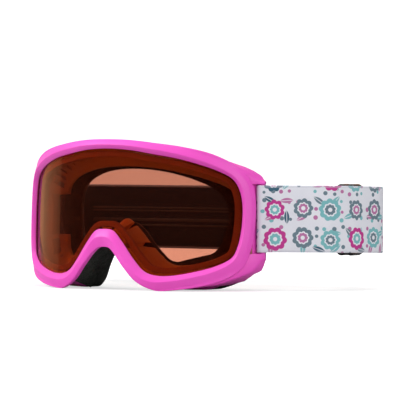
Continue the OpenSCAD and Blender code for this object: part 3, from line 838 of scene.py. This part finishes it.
def far_run(x1):
    straight = FAR_START + FAR_ALONG * np.linspace(0, FAR_LEN - 1, 12)[:, None]
    back = np.array([(x, BACK_Y) for x in np.linspace(FAR_MID[0], x1, 9)[1:]])
    return np.concatenate([straight, arc(FAR_MID, FAR_R, FAR, math.pi, 22), back])


def turn(c, r, a0, a1, n=14):
    a = np.linspace(a0, a1, n + 1)[1:-1]
    return c + r * np.stack([np.cos(a), np.sin(a)], 1)


def flip(line): return line[::-1] * np.array([-1, 1])


def ease(u):
    u = np.clip(u, 0, 1)
    return u * u * (3 - 2 * u)


def hang(y):
    return DROP * (np.maximum(y - RUN_START[1], 0) / (BACK_Y - RUN_START[1])) ** 2


TAIL, TAIL_GAP, STUB = 24.0, STRAP_T + 0.1, 5.0
T0 = LEAVE + math.pi / 2
s = np.linspace(TAIL, 0, 20)[:, None]
tail_line = flip(FAR_START + FAR_INWARD * (GAP + (TAIL_GAP - GAP) * ease((s - 3) / 9))
                 + FAR_ALONG * s)
T1 = FAR + math.pi / 2
outer_line = np.concatenate([
    np.array([RUN_START + INWARD * GAP + ALONG * STUB * t for t in (1, 0.75, 0.5, 0.25, 0)]),
    turn(TURN_MID, GAP / 2, T0, T0 + math.pi),
    run(0, 0, 0), flip(far_run(1)),
    flip(turn(TURN_MID, GAP / 2, T1, T1 + math.pi)), tail_line])
inner_line = np.concatenate([
    [RUN_START + INWARD * GAP + ALONG * (STUB + 0.3)], run(GAP, STUB + 3, SEAM_X + 0.3)])


def on_back(x, off): return (x, BACK_Y - off)


LOOP_MID = STRAP_T + 0.3 + 1.6 / 2 + BAR_CLEAR + STRAP_T / 2
LOOP_R = 1.6 / 2 + BAR_CLEAR + STRAP_T / 2
loop_line = np.concatenate([
    [on_back(SEAM_X - i * 1.4, GAP) for i in range(4)],
    [on_back(SEAM_X - 4.2 - i * 0.625, GAP + (LOOP_MID + LOOP_R - GAP) * ease(i / 8))
     for i in range(1, 9)],
    [on_back(ADJ_X - 1, LOOP_MID + LOOP_R)],
    turn(np.array(on_back(ADJ_X - 1, LOOP_MID)), LOOP_R, -math.pi / 2, -math.pi * 1.5),
    [on_back(ADJ_X - 1, LOOP_MID - LOOP_R)],
    [on_back(SEAM_X - 4.2 - i * 0.625, GAP - STRAP_T - 0.1
             + (LOOP_MID - LOOP_R - GAP + STRAP_T + 0.1) * ease(i / 8)) for i in range(8, -1, -1)],
    [on_back(SEAM_X - i * 1.4, GAP - STRAP_T - 0.1) for i in (2, 1, 0)]])

# %% [markdown]
# A ribbon's section is a flat rectangle with rolled edges. Each station also stores how far it
# lies along the strap and how high across it, in millimetres, so the print can be laid out on
# the flat strap and then bent with it, as it is in the factory.

# %% Ribbon
def ribbon(name, line, wide=STRAP_W, thick=STRAP_T):
    line = np.asarray(line, float)
    keep = np.concatenate([[True], np.linalg.norm(np.diff(line, axis=0), axis=1) > 0.02])
    line = line[keep]
    d = np.gradient(line, axis=0)
    d /= np.linalg.norm(d, axis=1)[:, None]
    side = np.stack([-d[:, 1], d[:, 0]], 1)
    z = STRAP_Z - hang(line[:, 1])
    h, t, r = wide / 2, thick / 2, thick * 0.42
    flat = []
    for sy, sz in ((-1, -1), (-1, 1), (1, 1), (1, -1)):
        for a in (np.linspace(math.pi / 2, 0, 5) if sy * sz > 0 else
                  np.linspace(0, math.pi / 2, 5)):
            flat.append((sy * (t - r + r * math.cos(a)), sz * (h - r + r * math.sin(a))))
    body = []
    for j, (y, v) in enumerate(flat):
        body.append((y, v))
        nxt = flat[(j + 1) % len(flat)]
        if abs(nxt[1] - v) > 5:
            body += [(y, v + (nxt[1] - v) * q) for q in (0.2, 0.4, 0.6, 0.8)]
    body = np.array(body)
    pts = np.zeros((len(line), len(body), 3))
    pts[..., :2] = line[:, None, :] + side[:, None, :] * body[None, :, :1]
    pts[..., 2] = z[:, None] + body[None, :, 1]
    obj = new_object(name, *tube(pts))
    s_along = np.concatenate([[0], np.cumsum(np.linalg.norm(np.diff(line, axis=0), axis=1))])
    layer = obj.data.uv_layers.new(name="flat_strap")
    inner_side = obj.data.attributes.new("inner_side", "FLOAT", "POINT")
    co = np.array([v.co for v in obj.data.vertices]) / MM - SHIFT
    near = np.zeros(len(co))
    for i, p in enumerate(co):
        j = int(np.argmin(np.linalg.norm(line - p[:2], axis=1)))
        near[i] = s_along[j]
        inner_side.data[i].value = float((p[:2] - line[j]) @ side[j] > thick * 0.3)
    middle = STRAP_Z - hang(co[:, 1])
    for poly in obj.data.polygons:
        for li in poly.loop_indices:
            vi = obj.data.loops[li].vertex_index
            layer.data[li].uv = (near[vi] * 0.01, (co[vi, 2] - middle[vi]) * 0.01)
    return obj


strap = ribbon("strap_printed", outer_line)
strap_inner = ribbon("strap_short_run", inner_line)
strap_loop = ribbon("strap_loop", loop_line)

# %% [markdown]
# ## The print
# The print is a scatter of simple shapes on a pale ground: scalloped discs, rings, leaves and
# dots. Each kind has its own grid of cells. A white noise gives every cell its own offset,
# size, turn and ink, and distance formulas draw the shape, so nothing repeats along the strap.

# %% Strap material
GROUND = srgb(240, 240, 247)
INKS = [srgb(127, 191, 196), srgb(61, 100, 120), srgb(110, 132, 144), srgb(200, 60, 147),
        srgb(192, 120, 168)]


class Cells:
    """Square cells on the flat strap with random numbers for each one."""
    def __init__(self, graph, u, v, size, seed, wander=0.5):
        x, y = u / size + seed * 7.31, v / size + seed * 3.17
        cx, cy = x.math("FLOOR"), y.math("FLOOR")
        spot = graph.node("ShaderNodeCombineXYZ", None, {0: cx, 1: cy, 2: float(seed)})
        noise = graph.node("ShaderNodeTexWhiteNoise", {"noise_dimensions": "3D"},
                           {"Vector": spot.outputs[0]})
        rgb = graph.node("ShaderNodeSeparateColor", None, {0: noise.outputs["Color"]})
        self.a, self.b, self.c = (graph.value(rgb.outputs[i]) for i in range(3))
        self.pick = graph.value(noise.outputs["Value"])
        self.x = (x - cx - 0.5 - (self.a - 0.5) * wander) * size
        self.y = (y - cy - 0.5 - (self.b - 0.5) * wander) * size
        self.r = (self.x * self.x + self.y * self.y).math("SQRT")
        self.angle = self.y.math("ARCTAN2", self.x) + self.c * 6.283

    def disc(self, radius, soft=0.18):
        return ((self.r * -1 + radius) / soft + 0.5).clamp()

    def ink(self, graph, inks, number=None):
        n = len(inks)
        stops = [(i / n, c) for i, c in enumerate(inks)]
        node = graph.node("ShaderNodeValToRGB", {"ramp": stops}, {"Fac": number or self.pick})
        node.color_ramp.interpolation = "CONSTANT"
        return node.outputs["Color"]


def strap_material(name, printed=True):
    gr = Graph(name)
    uv = gr.node("ShaderNodeUVMap", {"uv_map": "flat_strap"})
    sep = gr.node("ShaderNodeSeparateXYZ", None, {0: uv.outputs[0]})
    u, v = gr.value(sep.outputs[0]) * 100, gr.value(sep.outputs[1]) * 100
    colour = gr.mix(gr.noise(90.0, 2.0), GROUND, srgb(228, 229, 239))
    if printed:
        big = Cells(gr, u, v, 15.0, 1, 0.14)
        lobes = (big.angle * 4.5).sin().abs() * 0.9
        edge_r = lobes + big.c * 1.1 + 4.3
        shape = big.disc(edge_r) * big.pick.over(0.1)
        colour = gr.mix(shape, colour, big.ink(gr, INKS))
        colour = gr.mix(big.disc(edge_r * 0.62) * shape, colour, GROUND)
        colour = gr.mix(big.disc(edge_r * 0.48) * shape, colour, big.ink(gr, INKS[2:] + INKS[:2]))
        colour = gr.mix(big.disc(1.1) * shape, colour, GROUND)
        leaf = Cells(gr, u, v, 8.4, 2, 0.1)
        lx = leaf.r * (leaf.angle * 1.0).math("COSINE")
        ly = leaf.r * leaf.angle.sin()
        width = lx * lx * -0.1 + 1.35
        body = ((width - ly.abs()) / 0.18 + 0.5).clamp() * (1 - shape) * leaf.pick.over(0.36)
        vein = ((ly.abs() * -1 + 0.2) / 0.15 + 0.5).clamp()
        colour = gr.mix(body, colour, leaf.ink(gr, [INKS[1], INKS[0], INKS[2], INKS[4]],
                                               leaf.c))
        colour = gr.mix(body * vein * 0.8, colour, GROUND)
        dots = Cells(gr, u, v, 4.6, 3, 0.4)
        free = (1 - shape) * (1 - body)
        colour = gr.mix(dots.disc(dots.c * 0.5 + 0.75) * free * dots.pick.over(0.35), colour,
                        dots.ink(gr, [INKS[3], INKS[0], INKS[4], INKS[2]], dots.a))
    inner_face = gr.value(gr.node("ShaderNodeAttribute",
                                  {"attribute_name": "inner_side"}).outputs["Fac"])
    colour = gr.mix(inner_face, colour, srgb(12, 11, 11))
    warp = (u * 6.6).sin()
    weft = (v * 9.4 + (u * 3.3).sin().math("SIGN") * 1.57).sin()
    weave = warp * weft * 0.5 + 0.5
    hem = ((v.abs() - 16.2) / 0.3).clamp()
    colour = gr.mix(weave * 0.10, colour, (0.25, 0.25, 0.3))
    colour = gr.mix(hem * 0.35, colour, srgb(196, 196, 208))
    fuzz = gr.noise(2200.0, 2.0)
    return gr.finish(gr.surface(
        Base_Color=colour, Roughness=fuzz * 0.1 + 0.85, Sheen_Weight=0.01,
        Specular_IOR_Level=0.08, Normal=gr.bump(weave + fuzz * 0.4, 0.00022, 0.7)))


printed = strap_material("printed_elastic")
dress(strap, printed, "goggle", "webbing", "strap_outer_run")
plain = strap_material("plain_elastic", False)
dress(strap_loop, plain, "slider", "webbing", "strap_end_loop")
dress(strap_inner, plain, None, "webbing", "strap_inner_run")
world_y = SHIFT[1]
(CORNER_MID[1] - 4 + world_y) * MM
SEAM_X * MM
(BACK_Y - GAP + world_y) * MM
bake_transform(strap_inner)

# %% [markdown]
# ## Grip lines, seams and the adjuster
# Thin silicone lines on the inner face keep the strap on a helmet. Bar tacks, dense blocks of
# zigzag thread, close the two loops. The adjuster is a small moulded frame with three bars.
# Its two rails bulge past the strap's edges, which is all that shows of it from outside.

# %% Silicone lines
g = Graph("clear_silicone")
ripple = g.noise(500.0, 2.0)
g.finish(g.surface(Base_Color=g.mix(ripple, srgb(44, 38, 36), srgb(64, 58, 54)),
                   Roughness=ripple * 0.1 + 0.45, Specular_IOR_Level=0.2))
lines = joined([box_at((0, BACK_Y - STRAP_T / 2 - 0.225, STRAP_Z - DROP + z),
                       (FAR_MID[0] + 10, 0.45, w))
                for z, w in ((4.8, 0.9), (3.2, 0.8), (-1.9, 1.6), (-4.9, 0.9))])
grip = new_object("strap_silicone_lines", *lines, smooth=False)
low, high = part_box("strap_grip_lines")
shift_x = ((low.x + high.x) / 2) - np.mean([v.co.x for v in grip.data.vertices])
for vert in grip.data.vertices:
    vert.co.x += shift_x
bevel(grip, 0.2, 2)
dress(grip, g.material, "goggle", "silicone", "strap_grip_lines")

# %% [markdown]
# ### Bar tacks
# The thread is a rule, so Geometry Nodes makes it: a line of points down the seam, a short
# stitch on each point, tilted left and right in turn, then made real.

# %% Bar tacks
def stitch_tree():
    tree = bpy.data.node_groups.new("zigzag_tack", "GeometryNodeTree")
    new_socket = tree.interface.new_socket
    new_socket("Geometry", in_out="OUTPUT", socket_type="NodeSocketGeometry")
    sockets = {name: new_socket(name, in_out="INPUT", socket_type="NodeSocket" + kind).identifier
               for name, kind in (("Height", "Float"), ("Width", "Float"), ("Count", "Int"),
                                  ("Thread", "Float"), ("Material", "Material"))}

    def add(kind, inputs=(), **settings):
        n = tree.nodes.new(kind)
        for k, v in settings.items():
            setattr(n, k, v)
        for k, v in dict(inputs).items():
            if isinstance(v, bpy.types.NodeSocket):
                tree.links.new(v, n.inputs[k])
            else:
                n.inputs[k].default_value = v
        return n.outputs[0] if n.outputs else n

    def sum_of(op, a, b):
        return add("ShaderNodeMath", {0: a, 1: b}, operation=op)

    def vector(**parts):
        return add("ShaderNodeCombineXYZ", parts)

    src = tree.nodes.new("NodeGroupInput").outputs
    gap = sum_of("DIVIDE", src["Height"], sum_of("SUBTRACT", src["Count"], 1.0))
    line = add("GeometryNodeMeshLine", {
        "Count": src["Count"], "Offset": vector(Z=gap),
        "Start Location": vector(Z=sum_of("MULTIPLY", src["Height"], -0.5))}, mode="OFFSET")
    stitch = add("GeometryNodeMeshCylinder", {
        "Vertices": 8, "Side Segments": 3, "Radius": src["Thread"], "Depth": src["Width"]})
    odd = sum_of("MODULO", add("GeometryNodeInputIndex"), 2.0)
    tilt = sum_of("ADD", sum_of("MULTIPLY", odd, 0.5), math.pi / 2 - 0.25)
    lay = add("GeometryNodeInstanceOnPoints", {
        "Points": line, "Instance": stitch, "Rotation": vector(Y=tilt)})
    paint = add("GeometryNodeSetMaterial", {
        "Geometry": add("GeometryNodeRealizeInstances", {0: lay}), "Material": src["Material"]})
    add("NodeGroupOutput", {0: paint})
    return tree, sockets


g = Graph("thread")
twist = g.noise(4000.0, 2.0)
g.finish(g.surface(Base_Color=g.mix(twist, srgb(190, 190, 200), srgb(228, 228, 236)),
                   Roughness=twist * 0.1 + 0.6, Normal=g.bump(twist, 0.0001, 0.6)))
thread = g.material
tack_tree, tack_in = stitch_tree()


def tack(name, node, middle, turn_by, body):
    obj = add_object(name, bpy.data.meshes.new(name))
    mod = obj.modifiers.new("tack", "NODES")
    mod.node_group = tack_tree
    for key, v in (("Height", 0.0295), ("Width", 0.0029), ("Count", 46), ("Thread", 0.0002),
                   ("Material", thread)):
        mod[tack_in[key]] = v
    settle(obj)
    place_at = Matrix.Translation(Vector(middle)) @ Matrix.Rotation(turn_by, 4, "Z")
    obj.data.transform(place_at)
    obj.data.shade_smooth()
    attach(obj, body)
    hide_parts(node)
    print(name, len(obj.data.polygons), "faces")


lo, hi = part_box("strap_tack_end")
tack("seam_thread_end", "strap_tack_end", (lo + hi) / 2, 0.0, "slider")
lo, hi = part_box("strap_tack_left")
tack("seam_thread_left", "strap_tack_left", (lo + hi) / 2, math.pi - FAR, "goggle")

# %% Adjuster
RAIL_Z, PROUD, BAR_T = STRAP_W / 2 + 0.25, 1.65, 1.6
y0 = BACK_Y - LOOP_MID - BAR_T / 2
y1 = BACK_Y + STRAP_T / 2 + 0.3 + BAR_T
lobe, LOBE_ROUND, DIP = ADJ_W / 4, 1.05, 0.1
top_of = []
for x in np.linspace(-ADJ_W / 2, ADJ_W / 2, 61):
    centre = math.copysign(lobe, x) if x else lobe
    h = (lobe * LOBE_ROUND) ** 2 - (x - centre) ** 2
    z = STRAP_W / 2 + PROUD - lobe * LOBE_ROUND + math.sqrt(max(h, 0))
    if abs(x) < ADJ_W / 2 - 0.6:
        z = max(z, RAIL_Z + PROUD * DIP)
    top_of.append((x, max(z, RAIL_Z + 0.05)))
profile = np.array([(-ADJ_W / 2, RAIL_Z)] + top_of + [(ADJ_W / 2, RAIL_Z)])
apart = np.linalg.norm(np.diff(profile, axis=0), axis=1) > 0.01
profile = profile[np.concatenate([[True], apart])]


def rail(sign):
    pts = np.stack([np.stack([profile[:, 0], np.full(len(profile), y), sign * profile[:, 1]], 1)
                    for y in (y0, y1)])
    return tube(pts)


parts = [rail(1), rail(-1)]
for sx in (-1, 1):
    parts.append(box_at((sx * (ADJ_W / 2 - 1.2), y1 - BAR_T / 2, 0),
                        (2.4, BAR_T, 2 * RAIL_Z + 0.6)))
parts.append(box_at((0, y0 + BAR_T / 2, 0), (3, BAR_T, 2 * RAIL_Z + 0.6)))
verts, faces = joined(parts)
verts = verts + np.array([ADJ_X, 0, STRAP_Z - DROP])
slider = new_object("adjuster_moulding", verts, faces, smooth=False)
bevel(slider, 0.35, 3, angle=40)
g = Graph("black_moulding")
grain = g.noise(1500.0, 2.0)
g.finish(g.surface(Base_Color=g.mix(grain, srgb(18, 18, 19), srgb(34, 34, 35)),
                   Roughness=grain * 0.12 + 0.38, Normal=g.bump(grain, 0.0001, 0.4)))
dress(slider, g.material, "slider", "adjuster_black", "adjuster")

# %% [markdown]
# ## Floor, backdrop and light
# Only the camera and glass see the floor and the backdrop as white. To a mirror ray the room
# is dark and the backdrop is a dim warm screen. Its near edge stands where the bent lens turns
# away, which gives the far end of the lens a reflection with a hard upright edge. Lamps light
# the goggle from high up, so the rim's upper faces come out brighter than its front.

# %% Stage
def stage_sheet(name, verts):
    mesh = bpy.data.meshes.new(name)
    mesh.from_pydata(verts, [], [(0, 1, 2, 3)])
    obj = add_object(name, mesh)
    return obj


floor = stage_sheet("floor", [(-3, -3, 0), (3, -3, 0), (3, 3, 0), (-3, 3, 0)])
g = Graph("floor_paper")
path = g.node("ShaderNodeLightPath")
clean = g.value(path.outputs["Is Camera Ray"]).greater(g.value(path.outputs["Is Transmission Ray"]))
spot = g.node("ShaderNodeSeparateXYZ", None, {0: g.object_place()})
sx, sy = g.value(spot.outputs[0]), g.value(spot.outputs[1])
far = (((sx * sx + sy * sy).math("SQRT") - 0.16) / 0.25).clamp()
glow = clean * (far * 0.4 + 0.6)
paper = g.surface(Base_Color=(0.55, 0.55, 0.55), Roughness=0.9, Specular_IOR_Level=0.0,
                  Emission_Strength=1.0)
g.tree.links.new(g.mix(glow, (0.0, 0.0, 0.0), (1.0, 1.0, 1.0)), paper.inputs["Emission Color"])
floor.data.materials.append(g.finish(paper))

mesh = bpy.data.meshes.new("backdrop")
turns = [math.radians(a) for a in range(-81, -179, -7)]
CARD_R, CARD_TOP = 2.9, 2.7
ring_pts = [(CARD_R * math.sin(a), -CARD_R * math.cos(a)) for a in turns]
n = len(ring_pts)
mesh.from_pydata([(x, y, z) for z in (0, CARD_TOP) for x, y in ring_pts], [],
                 [(i, i + 1, n + i + 1, n + i) for i in range(n - 1)])
card = add_object("backdrop", mesh)
g = Graph("backdrop_paper")
path = g.node("ShaderNodeLightPath")
clean = g.value(path.outputs["Is Camera Ray"])
clean = clean.greater(g.value(path.outputs["Is Transmission Ray"]))
paper = g.surface(Base_Color=(0.3, 0.3, 0.3), Roughness=0.9, Specular_IOR_Level=0.0,
                  Emission_Strength=1.0)
mirror = g.mix(g.value(path.outputs["Is Glossy Ray"]), (0.0, 0.0, 0.0), (1.35, 0.6, 0.22))
g.tree.links.new(g.mix(clean, mirror, (1.0, 1.0, 1.0)), paper.inputs["Emission Color"])
card.data.materials.append(g.finish(paper))

world = bpy.data.worlds.new("world")
bpy.context.scene.world = world
world.use_nodes = True
tree = world.node_tree
ray = tree.nodes.new("ShaderNodeLightPath")
back = tree.nodes["Background"]
back.inputs["Color"].default_value = (0.3, 0.3, 0.3, 1)
white = tree.nodes.new("ShaderNodeBackground")
dark = tree.nodes.new("ShaderNodeBackground")
white.inputs["Color"].default_value = (1, 1, 1, 1)
dark.inputs["Color"].default_value = (0.012, 0.01, 0.01, 1)
see = tree.nodes.new("ShaderNodeMath")
see.operation = "MAXIMUM"
tree.links.new(ray.outputs["Is Camera Ray"], see.inputs[0])
tree.links.new(ray.outputs["Is Transmission Ray"], see.inputs[1])
gloss, clear = tree.nodes.new("ShaderNodeMixShader"), tree.nodes.new("ShaderNodeMixShader")
for target, factor, first, second in (
        (gloss, ray.outputs["Is Glossy Ray"], back.outputs[0], dark.outputs[0]),
        (clear, see.outputs[0], gloss.outputs[0], white.outputs[0])):
    tree.links.new(factor, target.inputs[0])
    tree.links.new(first, target.inputs[1])
    tree.links.new(second, target.inputs[2])
tree.links.new(clear.outputs[0], tree.nodes["World Output"].inputs["Surface"])


def lamp(name, place_at, size, power, target=(0, 0, 0.03)):
    data = bpy.data.lights.new(name, "AREA")
    data.shape, data.size, data.energy = "SQUARE", size, power
    obj = add_object(name, data)
    obj.location = place_at
    obj.rotation_euler = (Vector(target) - Vector(place_at)).to_track_quat("-Z", "Y").to_euler()
    return obj


lamp("key", (-1.2, -1.1, 1.0), 0.9, 30)
lamp("top", (0.2, 0.1, 1.8), 1.2, 16)
lamp("fill", (1.9, -1.1, 0.7), 0.9, 18)
